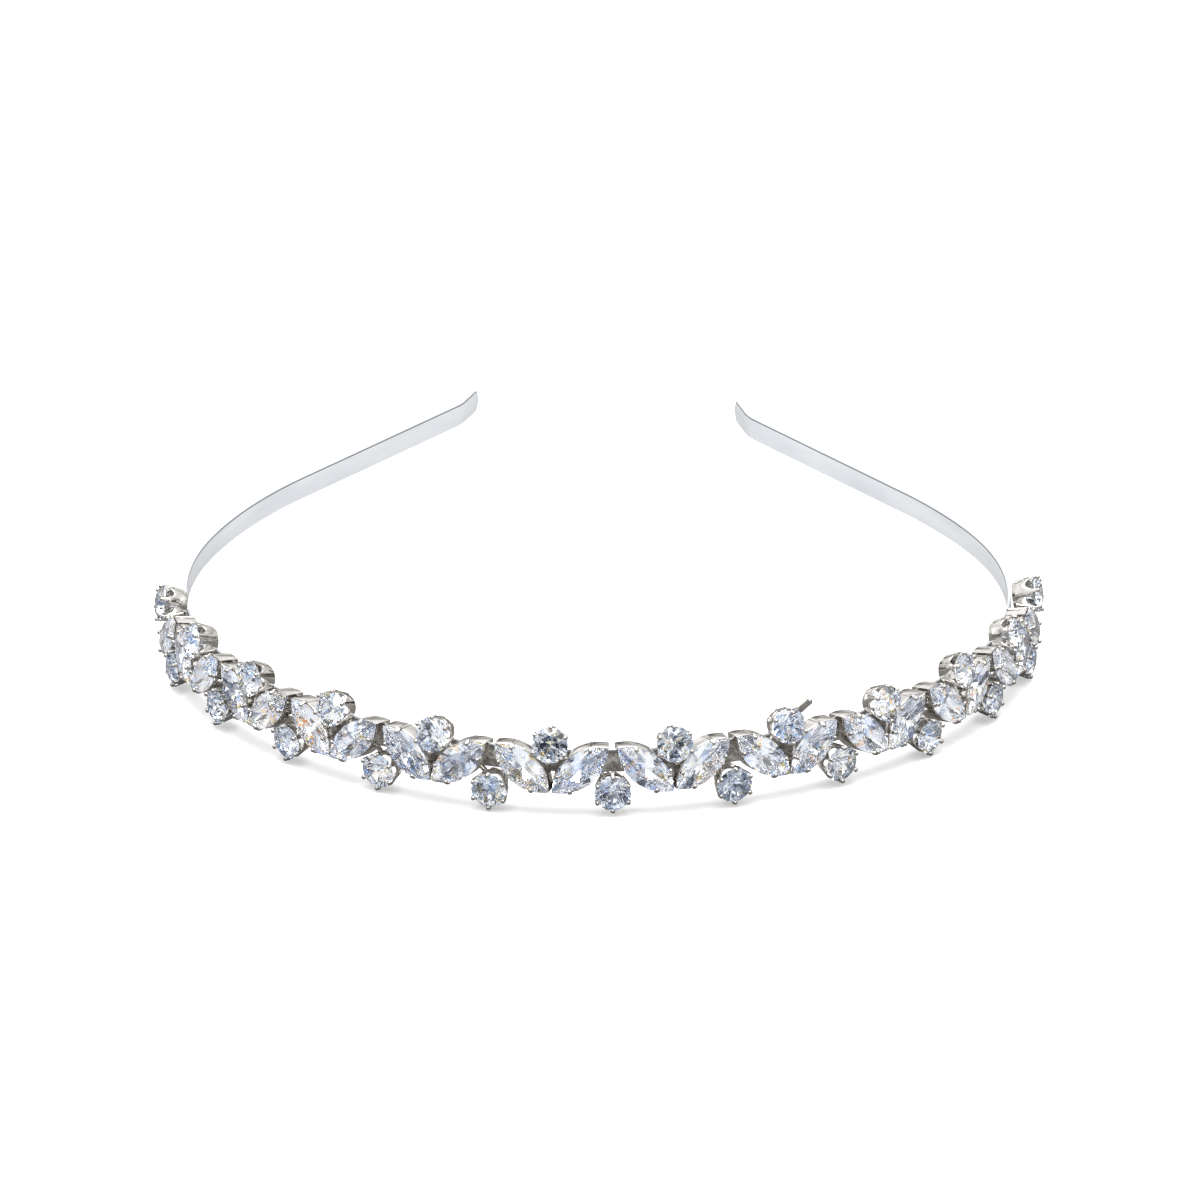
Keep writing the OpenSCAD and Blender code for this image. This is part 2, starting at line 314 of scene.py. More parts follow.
def spring_steel():
    """Spring steel, cold-rolled, plated and brushed under a satin lacquer: silvery white, with faint
    hairlines that run along it. Its edges are bare grey metal. Its outer face is painted a darker grey as
    shade, and darker still behind the jewels, where shade is painted into the gaps between the settings."""
    made, tree = new_material("lacquered_spring_steel")
    # The strip's UV is in millimetres along and round it. Hairlines are about 0.12 mm apart and 12 mm long.
    place = add(tree, "ShaderNodeUVMap", uv_map="strip").outputs["UV"]
    narrow = add(tree, "ShaderNodeMapping", {"Vector": place, "Scale": (0.08, 8.0, 1.0)})
    hairlines = noise(tree, narrow, 1.0, 3.0)
    wide = add(tree, "ShaderNodeMapping", {"Vector": place, "Scale": (0.05, 0.3, 1.0)})
    cloud = noise(tree, wide, 1.0)
    tone = between(tree, 0.35, cloud, hairlines)
    lacquered = coloured(tree, tone, [(0.35, "#d5d9de"), (0.65, "#e6e9ed")])
    spot = add(tree, "ShaderNodeSeparateXYZ", {"Vector": place})
    on_outer = ranged(tree, spot.outputs["Y"], OUTER_FACE_FROM, OUTER_FACE_FROM + 0.15)
    # Painted shade on the outer face, in the gaps between the settings behind the jewels
    gap_shade_share, gap_shade_tone = painted_gap_shade(tree, place, spot, on_outer)
    # Painted shade: the outer face is a darker grey than the inner one
    sided = mixed(tree, on_outer, lacquered, linear("#bcc0c5"))
    bare = bare_edge(tree, spot)
    lacquer_gloss = ranged(tree, hairlines, 0.3, 0.7, 0.3, 0.4)
    shader = add(tree, "ShaderNodeBsdfPrincipled", {
        "Base Color": mixed(tree, bare, mixed(tree, gap_shade_share, sided, gap_shade_tone), linear("#84878a")),
        "Metallic": 0.35,
        "Roughness": between(tree, bare, lacquer_gloss, 0.6),
        "Normal": add(tree, "ShaderNodeBump", {"Height": hairlines, "Strength": 0.08, "Distance": 0.00002}),
    })
    add(tree, "ShaderNodeOutputMaterial", {"Surface": shader})
    return made


def facet_normal(tree):
    """The way out of the stone at a facet. Light that meets it from inside sees its normal turned round."""
    facing = add(tree, "ShaderNodeNewGeometry")
    way_out = ranged(tree, facing.outputs["Backfacing"], 0.0, 1.0, 1.0, -1.0)
    return scaled(tree, facing.outputs["True Normal"], way_out)


def foil_backing(tree, place, normal, foil):
    """Share of the mirror behind a facet. Back facets face the head, in the middle of the band's loop."""
    from_middle = vector_maths(tree, "SUBTRACT", place, LOOP_MIDDLE)
    level = vector_maths(tree, "MULTIPLY", from_middle, (1.0, 1.0, 0.0))
    outwards = vector_maths(tree, "NORMALIZE", level)
    away = vector_maths(tree, "DOT_PRODUCT", outwards, normal)
    return ranged(tree, away, 0.02, -0.02, 0.0, foil)


def cut_crystal(name, facet_tones_with_painted_light, bend, foil, haze):
    """Crystal, cut and polished, with silver foil behind its back facets, so that it throws the light back.

    The facet tones are (share of the facets from which a tone starts, tone): clear crystal, with painted
    slate-grey reflections on some facets and painted blue or amber fire on a few. The foil is the share of
    the mirror in the back facets, and the haze is how far the body of the stone scatters light under its
    polish."""
    made, tree = new_material(name)
    place = add(tree, "ShaderNodeTexCoord").outputs["Object"]
    normal = facet_normal(tree)
    # One random number for each facet, from the way that it faces
    coarse = vector_maths(tree, "SNAP", normal, (0.02, 0.02, 0.02))
    chance = add(tree, "ShaderNodeTexWhiteNoise", {"Vector": coarse}, noise_dimensions="3D")
    # Painted reflections and fire: each facet takes a tone from the ramp, some slate grey, a few blue or
    # amber
    tint = coloured(tree, chance, facet_tones_with_painted_light, "CONSTANT")
    backing = foil_backing(tree, place, normal, foil)
    # Painted fire: flecks of split light painted into the foil's colour, about half a millimetre across and
    # blue, orange or yellow
    painted_fire = ranged(tree, noise(tree, place, 1500.0, 0.0), 0.67, 0.7, 0.0, 0.9)
    fire_colour = coloured(tree, noise(tree, place, 450.0, 0.0), [
        (0.44, "#9cc0f2"), (0.49, "#f4f7fc"), (0.54, "#ffab5c"), (0.6, "#ffe58c"),
    ])
    # Faint smears left on the polish, about a millimetre across
    smears = noise(tree, place, 900.0, 3.0)
    shader = add(tree, "ShaderNodeBsdfPrincipled", {
        "Base Color": mixed(tree, maths(tree, "MULTIPLY", painted_fire, backing), tint, fire_colour),
        "Roughness": ranged(tree, smears, 0.45, 0.75, haze, haze + 0.04),
        "Metallic": backing,
        "IOR": bend,
        "Transmission Weight": 1.0,
        "Coat Weight": 1.0,
        "Coat Roughness": 0.0,
    })
    add(tree, "ShaderNodeOutputMaterial", {"Surface": shader})
    return made


def pale_table():
    """Matt white paper sweep, so smooth that only a trace of tone shows. It stays white to the camera, but
    shows a painted blue-grey through the stones and a painted dark reflection in the polished metal."""
    made, tree = new_material("matt_white_paper")
    place = add(tree, "ShaderNodeTexCoord").outputs["Object"]
    tint = coloured(tree, noise(tree, place, 6.0), [(0.0, "#f3f3f3"), (1.0, "#f8f8f8")])
    sight = add(tree, "ShaderNodeLightPath")
    # Painted reflection: the paper is dark warm grey to rays that the metal mirrors, and blue-grey to rays
    # through the stones
    painted_reflection = mixed(tree, sight.outputs["Is Glossy Ray"], tint, linear("#6e6b68"))
    shader = add(tree, "ShaderNodeBsdfPrincipled", {
        "Base Color": mixed(tree, sight.outputs["Is Transmission Ray"], painted_reflection, linear("#c6cad0")),
        "Roughness": 0.9,
        "Specular IOR Level": 0.1,
        "Emission Color": linear("#ffffff"),
        # Painted light: the paper glows to the camera alone, which fills in most of its cast shadow. It
        # lights nothing else here.
        "Emission Strength": maths(tree, "MULTIPLY", sight.outputs["Is Camera Ray"], 0.2),
    })
    add(tree, "ShaderNodeOutputMaterial", {"Surface": shader})
    return made


plating = plated_metal()
steel = spring_steel()
# The facets are mostly clear; some carry painted slate-grey reflections, and a few painted blue or orange
# fire.
round_crystal = cut_crystal("round_cut_crystal", [
    (0.0, "#f9fafc"), (0.3, "#e6e9ed"), (0.5, "#ffffff"), (0.7, "#97a0ae"),
    (0.84, "#f6f3ec"), (0.9, "#e0e6ed"), (0.98, "#c8daf3"),
], bend=1.8, foil=0.9, haze=0.0)
marquise_crystal = cut_crystal("marquise_cut_crystal", [
    (0.0, "#fefefe"), (0.4, "#f7f8fa"), (0.64, "#ffffff"), (0.84, "#9ba2ae"),
    (0.91, "#eff2f8"), (0.97, "#ffe8cc"), (0.98, "#d8e4fa"),
], bend=1.7, foil=0.9, haze=0.03)
table_paper = pale_table()

# Places along the strip


def after(place, radius, run):
    """Where a bend of that radius leads to from a place (x, y, heading)."""
    x, y, heading = place
    if radius == 0:
        return (x + run * math.cos(heading), y + run * math.sin(heading), heading)
    end = heading + run / radius
    return (
        x + radius * (math.sin(end) - math.sin(heading)),
        y + radius * (math.cos(heading) - math.cos(end)),
        end,
    )


def along(half, run):
    """Place on a half of the strip, at that distance from the crown."""
    place = (0.0, 0.0, 0.0)
    for radius, length in STRETCHES[half][:-1]:
        if run <= length:
            return after(place, radius, run)
        place = after(place, radius, length)
        run -= length
    return after(place, STRETCHES[half][-1][0], run)


def station(s):
    """Place at a signed distance from the crown. The left half is the mirror of a right one."""
    if s < 0:
        x, y, heading = along(LEFT, -s)
        return (-x, y, -heading)
    return along(RIGHT, s)


def turn(axis, degrees):
    """A turn about an axis"""
    return Matrix.Rotation(math.radians(degrees), 4, axis)


def on_band(s, height, stand_off):
    """Frame of a setting on the strip: its Z points away from the head, and its Y is up."""
    x, y, heading = station(s)
    return (
        Matrix.Translation((x - BOX_MIDDLE[0], y - BOX_MIDDLE[1], height + BAND_MIDDLE_HEIGHT))
        @ Matrix.Rotation(heading, 4, "Z")
        @ turn("X", 90)
        @ Matrix.Translation((0, 0, stand_off))
    )


def valley(i):
    """Distance of a valley of the zigzag from the crown"""
    return (i - (UPPER_COUNT + 1) / 2) * PITCH + JEWEL_SHIFT


def at_round(s, base, hand):
    """Frame of a round cup in its row, with its handmade lean, shift and lift"""
    lean, _, slide, lift = hand
    return on_band(s + slide, base + lift, STAND_OFF) @ turn("X", -lean)


def at_upper(i):
    """Frame of an upper round cup, in its valley"""
    return at_round(valley(i), UPPER_BASE, UPPER_HAND[i - 1])


def at_lower(i):
    """Frame of a lower round cup, under the peak to the right of its valley"""
    return at_round(valley(i) + PITCH / 2, LOWER_BASE, LOWER_HAND[i - 1])


def at_marquise(j):
    """Frame of a marquise cup. Those with an odd number climb out of a valley."""
    climbs = j % 2 == 1
    reach = PITCH / 4 - MARQUISE_SHIFT
    s = valley((j + 1) // 2) + reach if climbs else valley(j // 2 + 1) - reach
    seat = on_band(s, MARQUISE_LIFT + MARQUISE_HAND[j - 1], MARQUISE_STAND_OFF)
    return seat @ turn("X", -MARQUISE_LEAN) @ turn("Z", SLOPE if climbs else -SLOPE)


# Geometry Nodes trees. Lengths inside them are metres.


def new_tree(name, sizes):
    """A tree with a Geometry input and one named input for each size."""
    tree = bpy.data.node_groups.new(name, "GeometryNodeTree")
    tree.interface.new_socket("Geometry", in_out="INPUT", socket_type="NodeSocketGeometry")
    for size in sizes:
        tree.interface.new_socket(size, in_out="INPUT", socket_type="NodeSocketFloat")
    tree.interface.new_socket("Material", in_out="INPUT", socket_type="NodeSocketMaterial")
    tree.interface.new_socket("Geometry", in_out="OUTPUT", socket_type="NodeSocketGeometry")
    return tree, add(tree, "NodeGroupInput").outputs


def close_tree(tree, geometry, material):
    """Realize Instances and Set Material, with smooth faces, and the output."""
    real = add(tree, "GeometryNodeRealizeInstances", {"Geometry": geometry})
    smooth = add(tree, "GeometryNodeSetShadeSmooth", {"Geometry": real})
    faced = add(tree, "GeometryNodeSetMaterial", {"Geometry": smooth, "Material": material})
    add(tree, "NodeGroupOutput", {"Geometry": faced})


def soft_section(tree, width, height, corner):
    """A rectangle with rounded corners"""
    section = add(tree, "GeometryNodeCurvePrimitiveQuadrilateral", {"Width": width, "Height": height})
    return add(tree, "GeometryNodeFilletCurve", {
        "Curve": section, "Radius": corner, "Count": CORNER_STEPS, "Limit Radius": True,
    }, mode="POLY")


def wall_ring(tree, wall, height, steps):
    """A closed ring in which the middle of the wall is at radius 1, and half its height is above Z 0."""
    path = add(tree, "GeometryNodeCurvePrimitiveCircle", {"Resolution": steps, "Radius": 1.0})
    section = soft_section(tree, wall, height, maths(tree, "MULTIPLY", wall, WALL_CORNER_SHARE))
    return add(tree, "GeometryNodeCurveToMesh", {"Curve": path, "Profile Curve": section})


def ring_places(tree, height):
    """For the points of such a ring: their place, the way to them from the axis, how far outside the middle
    of the wall they are, and their height above its lower edge"""
    spot = add(tree, "GeometryNodeInputPosition")
    flat = vector_maths(tree, "MULTIPLY", spot, (1.0, 1.0, 0.0))
    outwards = vector_maths(tree, "NORMALIZE", flat)
    in_wall = maths(tree, "SUBTRACT", vector_maths(tree, "LENGTH", flat), 1.0)
    parts = add(tree, "ShaderNodeSeparateXYZ", {"Vector": spot})
    return parts, outwards, in_wall, maths(tree, "MULTIPLY_ADD", height, 0.5, parts.outputs["Z"])


def on_seats(tree, seats, shape):
    """A copy of the shape on each seat, turned as the seat's own attribute says."""
    facing = add(tree, "GeometryNodeInputNamedAttribute", {"Name": "facing"}, data_type="FLOAT_VECTOR")
    rotation = add(tree, "FunctionNodeEulerToRotation", {"Euler": facing})
    return add(tree, "GeometryNodeInstanceOnPoints", {
        "Points": seats, "Instance": shape, "Rotation": rotation,
    })


def scalloped(tree, given, parts):
    """Height of the rim, which dips by the depth of a round scallop between each two claws"""
    angle = maths(tree, "ARCTAN2", parts.outputs["Y"], parts.outputs["X"])
    from_first = maths(tree, "SUBTRACT", angle, given["First Claw"])
    from_claw = maths(tree, "FLOORED_MODULO", from_first, given["Claw Angle"])
    half_angle = maths(tree, "MULTIPLY", given["Claw Angle"], 0.5)
    off_middle = maths(tree, "SUBTRACT", from_claw, half_angle)
    aside = maths(tree, "MULTIPLY", maths(tree, "SINE", off_middle), given["Rim Radius"])
    aside_squared = maths(tree, "MULTIPLY", aside, aside)
    radius_squared = maths(tree, "MULTIPLY", given["Scallop Radius"], given["Scallop Radius"])
    depth_squared = maths(tree, "SUBTRACT", radius_squared, aside_squared)
    depth = maths(tree, "SQRT", maths(tree, "MAXIMUM", depth_squared, 0.0))
    return maths(tree, "SUBTRACT", given["Rim Height"], depth)


def round_cup_tree():
    """A flared cup whose wall dips in a scallop between each two claws."""
    tree, given = new_tree("round_cup", [
        "Base Radius", "Rim Radius", "Rim Height", "Wall", "Scallop Radius", "Claw Angle", "First Claw",
    ])
    ring = wall_ring(tree, given["Wall"], given["Rim Height"], ROUND_CUP_STEPS)
    parts, outwards, in_wall, height = ring_places(tree, given["Rim Height"])
    low = ranged(tree, height, 0.0, given["Rim Height"], 0.0, scalloped(tree, given, parts))
    # The wall flares from its base to its rim.
    flared = ranged(tree, low, 0.0, given["Rim Height"], given["Base Radius"], given["Rim Radius"])
    middle = maths(tree, "MULTIPLY_ADD", given["Wall"], -0.5, flared)
    flat_place = scaled(tree, outwards, maths(tree, "ADD", middle, in_wall))
    upwards = add(tree, "ShaderNodeCombineXYZ", {"Z": low})
    place = vector_maths(tree, "ADD", flat_place, upwards)
    cup = add(tree, "GeometryNodeSetPosition", {"Geometry": ring, "Position": place})
    close_tree(tree, on_seats(tree, given["Geometry"], cup), given["Material"])
    return tree


def marquise_cup_tree():
    """A thin wall that follows the stone's outline, which is the overlap of two circles."""
    tree, given = new_tree("marquise_cup", ["Arc Radius", "Arc Centre", "Rim Height", "Wall"])
    ring = wall_ring(tree, given["Wall"], given["Rim Height"], MARQUISE_CUP_STEPS)
    _, outwards, in_wall, height = ring_places(tree, given["Rim Height"])
    way = add(tree, "ShaderNodeSeparateXYZ", {"Vector": outwards})
    # Radius of the circle that this layer of the wall lies on, and half the length of the outline it gives
    middle = maths(tree, "MULTIPLY_ADD", given["Wall"], -0.5, given["Arc Radius"])
    arc = maths(tree, "ADD", middle, in_wall)
    arc_squared = maths(tree, "MULTIPLY", arc, arc)
    centre_squared = maths(tree, "MULTIPLY", given["Arc Centre"], given["Arc Centre"])
    tip = maths(tree, "SQRT", maths(tree, "SUBTRACT", arc_squared, centre_squared))
    x = maths(tree, "MULTIPLY", tip, way.outputs["X"])
    # Height of that circle above the long axis
    rise_squared = maths(tree, "SUBTRACT", arc_squared, maths(tree, "MULTIPLY", x, x))
    above_axis = maths(tree, "SUBTRACT", maths(tree, "SQRT", rise_squared), given["Arc Centre"])
    reach = maths(tree, "MAXIMUM", above_axis, 0.0)
    y = maths(tree, "MULTIPLY", maths(tree, "SIGN", way.outputs["Y"]), reach)
    place = add(tree, "ShaderNodeCombineXYZ", {"X": x, "Y": y, "Z": height})
    cup = add(tree, "GeometryNodeSetPosition", {"Geometry": ring, "Position": place})
    close_tree(tree, on_seats(tree, given["Geometry"], cup), given["Material"])
    return tree


def prong_tree():
    """Flat prongs along the edges of the given mesh, each with a bead pressed from its end.

    The attribute "side" of the mesh says which way a prong is wide."""
    tree, given = new_tree("claw_prong", ["Width", "Thickness", "Flare", "Bend Radius", "Bead Radius"])
    line = add(tree, "GeometryNodeMeshToCurve", {"Mesh": given["Geometry"]})
    bent = add(tree, "GeometryNodeFilletCurve", {
        "Curve": line, "Radius": given["Bend Radius"], "Count": PRONG_BEND_STEPS, "Limit Radius": True,
    }, mode="POLY")
    side = add(tree, "GeometryNodeInputNamedAttribute", {"Name": "side"}, data_type="FLOAT_VECTOR")
    sided = add(tree, "GeometryNodeSetCurveNormal", {"Curve": bent, "Normal": side}, mode="FREE")
    share = add(tree, "GeometryNodeSplineParameter")
    taper = ranged(tree, share.outputs["Factor"], 0.0, TAPER_END, given["Flare"], 1.0)
    corner = maths(tree, "MULTIPLY", given["Thickness"], PRONG_CORNER_SHARE)
    section = soft_section(tree, given["Width"], given["Thickness"], corner)
    prong = add(tree, "GeometryNodeCurveToMesh", {
        "Curve": sided, "Profile Curve": section, "Fill Caps": True, "Scale": taper,
    })
    ends = add(tree, "GeometryNodeCurveEndpointSelection", {"Start Size": 0, "End Size": 1})
    bead = add(tree, "GeometryNodeMeshUVSphere", {
        "Segments": BEAD_SEGMENTS, "Rings": BEAD_RINGS, "Radius": given["Bead Radius"],
    })
    beads = add(tree, "GeometryNodeInstanceOnPoints", {"Points": bent, "Selection": ends, "Instance": bead})
    both = add(tree, "GeometryNodeJoinGeometry", {"Geometry": prong})
    tree.links.new(beads.outputs["Instances"], both.inputs["Geometry"])
    close_tree(tree, both, given["Material"])
    return tree


def solder_tree():
    """Links of solder that widen where they wet the cups. They follow the edges of the given mesh."""
    tree, given = new_tree("solder_link", ["Waist Radius", "Wetting"])
    line = add(tree, "GeometryNodeMeshToCurve", {"Mesh": given["Geometry"]})
    fine = add(tree, "GeometryNodeResampleCurve", {"Curve": line, "Count": SOLDER_STATIONS})
    share = add(tree, "GeometryNodeSplineParameter")
    doubled = maths(tree, "MULTIPLY_ADD", share.outputs["Factor"], 2.0, -1.0)
    curl = maths(tree, "POWER", maths(tree, "ABSOLUTE", doubled), SOLDER_CURL)
    swell = maths(tree, "MULTIPLY_ADD", given["Wetting"], curl, 1.0)
    ring = add(tree, "GeometryNodeCurvePrimitiveCircle", {
        "Resolution": SOLDER_SIDES, "Radius": given["Waist Radius"],
    })
    link = add(tree, "GeometryNodeCurveToMesh", {
        "Curve": fine, "Profile Curve": ring, "Fill Caps": True, "Scale": swell,
    })
    close_tree(tree, link, given["Material"])
    return tree


round_cup = round_cup_tree()
marquise_cup = marquise_cup_tree()
claw_prong = prong_tree()
solder_link = solder_tree()

# Meshes that the trees work on, and objects of the results


def placed(name, data):
    """A new object of the scene"""
    made = bpy.data.objects.new(name, data)
    bpy.context.scene.collection.objects.link(made)
    return made


def made_by(tree, mesh, sizes):
    """The plain mesh that a tree makes of a mesh."""
    holder = placed("holder", mesh)
    modifier = holder.modifiers.new("shape", "NODES")
    modifier.node_group = tree
    for item in tree.interface.items_tree:
        if item.in_out == "INPUT" and item.name in sizes:
            modifier[item.identifier] = sizes[item.name]
    seen = holder.evaluated_get(bpy.context.evaluated_depsgraph_get())
    result = bpy.data.meshes.new_from_object(seen)
    holder.modifiers.remove(modifier)
    bpy.data.objects.remove(holder)
    return result


def seat_mesh(seats):
    """A point for each seat, given as its frame in millimetres, with the way that it faces."""
    mesh = bpy.data.meshes.new("seats")
    mesh.from_pydata([seat.translation * MM for seat in seats], [], [])
    facing = mesh.attributes.new("facing", "FLOAT_VECTOR", "POINT")
    for spot, seat in zip(facing.data, seats):
        spot.vector = seat.to_euler("XYZ")
    return mesh


def line_mesh(lines, sides=None):
    """An open line for each list of points, in millimetres. A line may have a side, along which its prong
    is wide."""
    points = []
    edges = []
    ways = []
    for k, line in enumerate(lines):
        first = len(points)
        points += [Vector(p) * MM for p in line]
        edges += [(first + n, first + n + 1) for n in range(len(line) - 1)]
        ways += [sides[k] if sides else Vector((0, 0, 1))] * len(line)
    mesh = bpy.data.meshes.new("lines")
    mesh.from_pydata(points, edges, [])
    side = mesh.attributes.new("side", "FLOAT_VECTOR", "POINT")
    for spot, way in zip(side.data, ways):
        spot.vector = way
    return mesh


def joined(name, meshes, material):
    """One object of several meshes that wear the same material."""
    whole = bmesh.new()
    for mesh in meshes:
        whole.from_mesh(mesh)
    for face in whole.faces:
        face.material_index = 0
    mesh = bpy.data.meshes.new(name)
    whole.to_mesh(mesh)
    whole.free()
    mesh.materials.append(material)
    return placed(name, mesh)


# Settings


def prongs(lines, sides, flare, width=PRONG_WIDTH, thickness=PRONG_THICKNESS):
    """Mesh of claws along those lines, each wide along its side"""
    return made_by(claw_prong, line_mesh(lines, sides), {
        "Width": width * MM,
        "Thickness": thickness * MM,
        "Flare": flare,
        "Bend Radius": PRONG_BEND * MM,
        "Bead Radius": BEAD_RADIUS * MM,
        "Material": plating,
    })


def prong_line(claw, points):
    """Line of a prong through points of the claw's own plane, and the side that it is wide along"""
    return [claw @ Vector((p[0], 0, p[1])) for p in points], claw.to_3x3() @ Vector((0, 1, 0))


def round_claws(seat, first, is_open):
    """Lines of the claws of a round cup, from the root over the knee to the tip, and the side of each"""
    lines = []
    sides = []
    for k in range(CLAW_COUNT):
        if is_open and k == OPEN_CLAW:
            continue
        claw = seat @ turn("Z", first + k * 360 / CLAW_COUNT)
        line, side = prong_line(claw, (CLAW_ROOT, CLAW_FOOT, CLAW_KNEE, CLAW_TIP))
        lines.append(line)
        sides.append(side)
    return lines, sides


def open_claw(seat):
    """Mesh of the claw that was never pressed down"""
    line, side = prong_line(seat @ turn("Z", OPEN_ANGLE), (CLAW_ROOT, CLAW_FOOT, CLAW_KNEE, OPEN_TIP))
    return prongs([line], [side], OPEN_PRONG_FLARE, OPEN_PRONG_WIDTH, OPEN_PRONG_THICKNESS)


def round_setting(seat, first, is_open=False):
    """Meshes of a round cup and of its claws"""
    cup = made_by(round_cup, seat_mesh([seat]), {
        "Base Radius": CUP_BASE_RADIUS * MM,
        "Rim Radius": ROUND_RADIUS * MM,
        "Rim Height": CUP_RIM * MM,
        "Wall": CUP_WALL * MM,
        "Scallop Radius": SCALLOP_RADIUS * MM,
        "Claw Angle": 2 * math.pi / CLAW_COUNT,
        "First Claw": math.radians(first),
        "Material": plating,
    })
    return [cup, prongs(*round_claws(seat, first, is_open), ROUND_PRONG_FLARE)]


def marquise_claws(seat):
    """Lines of the four claws of a marquise cup, and the side of each"""
    across = math.sqrt(MARQUISE_ARC**2 - MARQUISE_CLAW_SPREAD**2)
    out = Vector((MARQUISE_CLAW_SPREAD, across, 0)).normalized()
    lines = []
    sides = []
    for x in (1, -1):
        for y in (1, -1):
            line = []
            for distance, height in MARQUISE_CLAW:
                spread = MARQUISE_CLAW_SPREAD + distance * out.x
                side = across - MARQUISE_CENTRE + distance * out.y
                line.append(seat @ Vector((x * spread, y * side, height)))
            lines.append(line)
            sides.append(seat.to_3x3() @ Vector((-y * out.y, x * out.x, 0)))
    return lines, sides


def marquise_settings(seats):
    """Meshes of the marquise cups on those seats and of their claws"""
    cups = made_by(marquise_cup, seat_mesh(seats), {
        "Arc Radius": MARQUISE_ARC * MM,
        "Arc Centre": MARQUISE_CENTRE * MM,
        "Rim Height": MARQUISE_RIM * MM,
        "Wall": CUP_WALL * MM,
        "Material": plating,
    })
    return [cups] + [prongs(*marquise_claws(seat), MARQUISE_PRONG_FLARE) for seat in seats]


def solder_line(seat, angle, reach):
    """Line of a link that leaves a round cup at that angle"""
    link = seat @ turn("Z", angle)
    return [link @ Vector((x, 0, SOLDER_HEIGHT)) for x in (CUP_BASE_RADIUS - CUP_WALL, reach)]


def solder(lines, radius):
    """Mesh of solder along those lines"""
    return made_by(solder_link, line_mesh(lines), {
        "Waist Radius": radius * MM, "Wetting": SOLDER_WETTING, "Material": plating,
    })


def valley_bar(i):
    """Line of the short bar that joins the two marquise cups of a valley"""
    place = on_band(valley(i), VALLEY_BAR_DEPTH, MARQUISE_STAND_OFF + SOLDER_HEIGHT)
    return [place @ Vector((x * VALLEY_BAR_LENGTH / 2, 0, 0)) for x in (-1, 1)]


def claw_cluster(i):
    """The plated metal of one valley: its upper cup, its marquise cups, the lower cup to its right, and the
    solder between them"""
    towards_cup = 90 - SLOPE
    upper = at_upper(i)
    meshes = [open_claw(upper)] if i == OPEN_CUP else []
    meshes += round_setting(upper, UPPER_HAND[i - 1][1], i == OPEN_CUP)
    seats = []
    links = []
    if i > 1:
        seats.append(at_marquise(2 * i - 2))
        links.append(solder_line(upper, 180 + towards_cup, UPPER_LINK))
    if i < UPPER_COUNT:
        lower = at_lower(i)
        meshes += round_setting(lower, LOWER_HAND[i - 1][1])
        seats.append(at_marquise(2 * i - 1))
        links.append(solder_line(upper, -towards_cup, UPPER_LINK))
        links.append(solder_line(lower, 180 - towards_cup, LOWER_LINK))
    meshes += marquise_settings(seats)
    meshes.append(solder(links, SOLDER_RADIUS))
    if len(seats) == 2:
        meshes.append(solder([valley_bar(i)], VALLEY_BAR_RADIUS))
    piece = joined(f"claw_settings_{i:02d}", meshes, plating)
    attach(piece, "root")
    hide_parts(f"claw_cluster_{i:02d}")


# Strip


def strip_stops():
    """Where the sections of the strip are, from its left tip to its right one: distance from the crown, and
    half width there"""
    half_width = BAND_WIDTH / 2
    halves = []
    for half, sign in ((LEFT, -1), (RIGHT, 1)):
        total = sum(length for _, length in STRETCHES[half])
        round_from = total - END_TRIM - END_RADIUS
        reach = END_RADIUS - math.sqrt(END_RADIUS**2 - half_width**2)
        tail = total - END_TRIM - reach
        count = int(tail / SECTION_SPACING)
        stops = [(sign * tail * k / count, half_width) for k in range(count + 1)]
        for k in range(1, END_SECTIONS + 1):
            angle = math.asin(half_width / END_RADIUS) * (1 - k / END_SECTIONS)
            narrow = max(END_RADIUS * math.sin(angle), LAST_HALF_WIDTH)
            stops.append((sign * (round_from + END_RADIUS * math.cos(angle)), narrow))
        halves.append(stops)
    return list(reversed(halves[LEFT][1:])) + halves[RIGHT]


def strip_section(half_width):
    """Rounded section of the strip: pairs of distance out from the middle line and height, going round."""
    edge = min(BAND_EDGE, half_width * NARROW_EDGE_SHARE)
    out = BAND_THICKNESS / 2 - edge
    up = half_width - edge
    points = []
    for quarter, (x, y) in enumerate(((out, up), (-out, up), (-out, -up), (out, -up))):
        for k in range(EDGE_STEPS + 1):
            angle = math.radians(90 * quarter + 90 * k / EDGE_STEPS)
            points.append((x + edge * math.cos(angle), y + edge * math.sin(angle)))
    return points


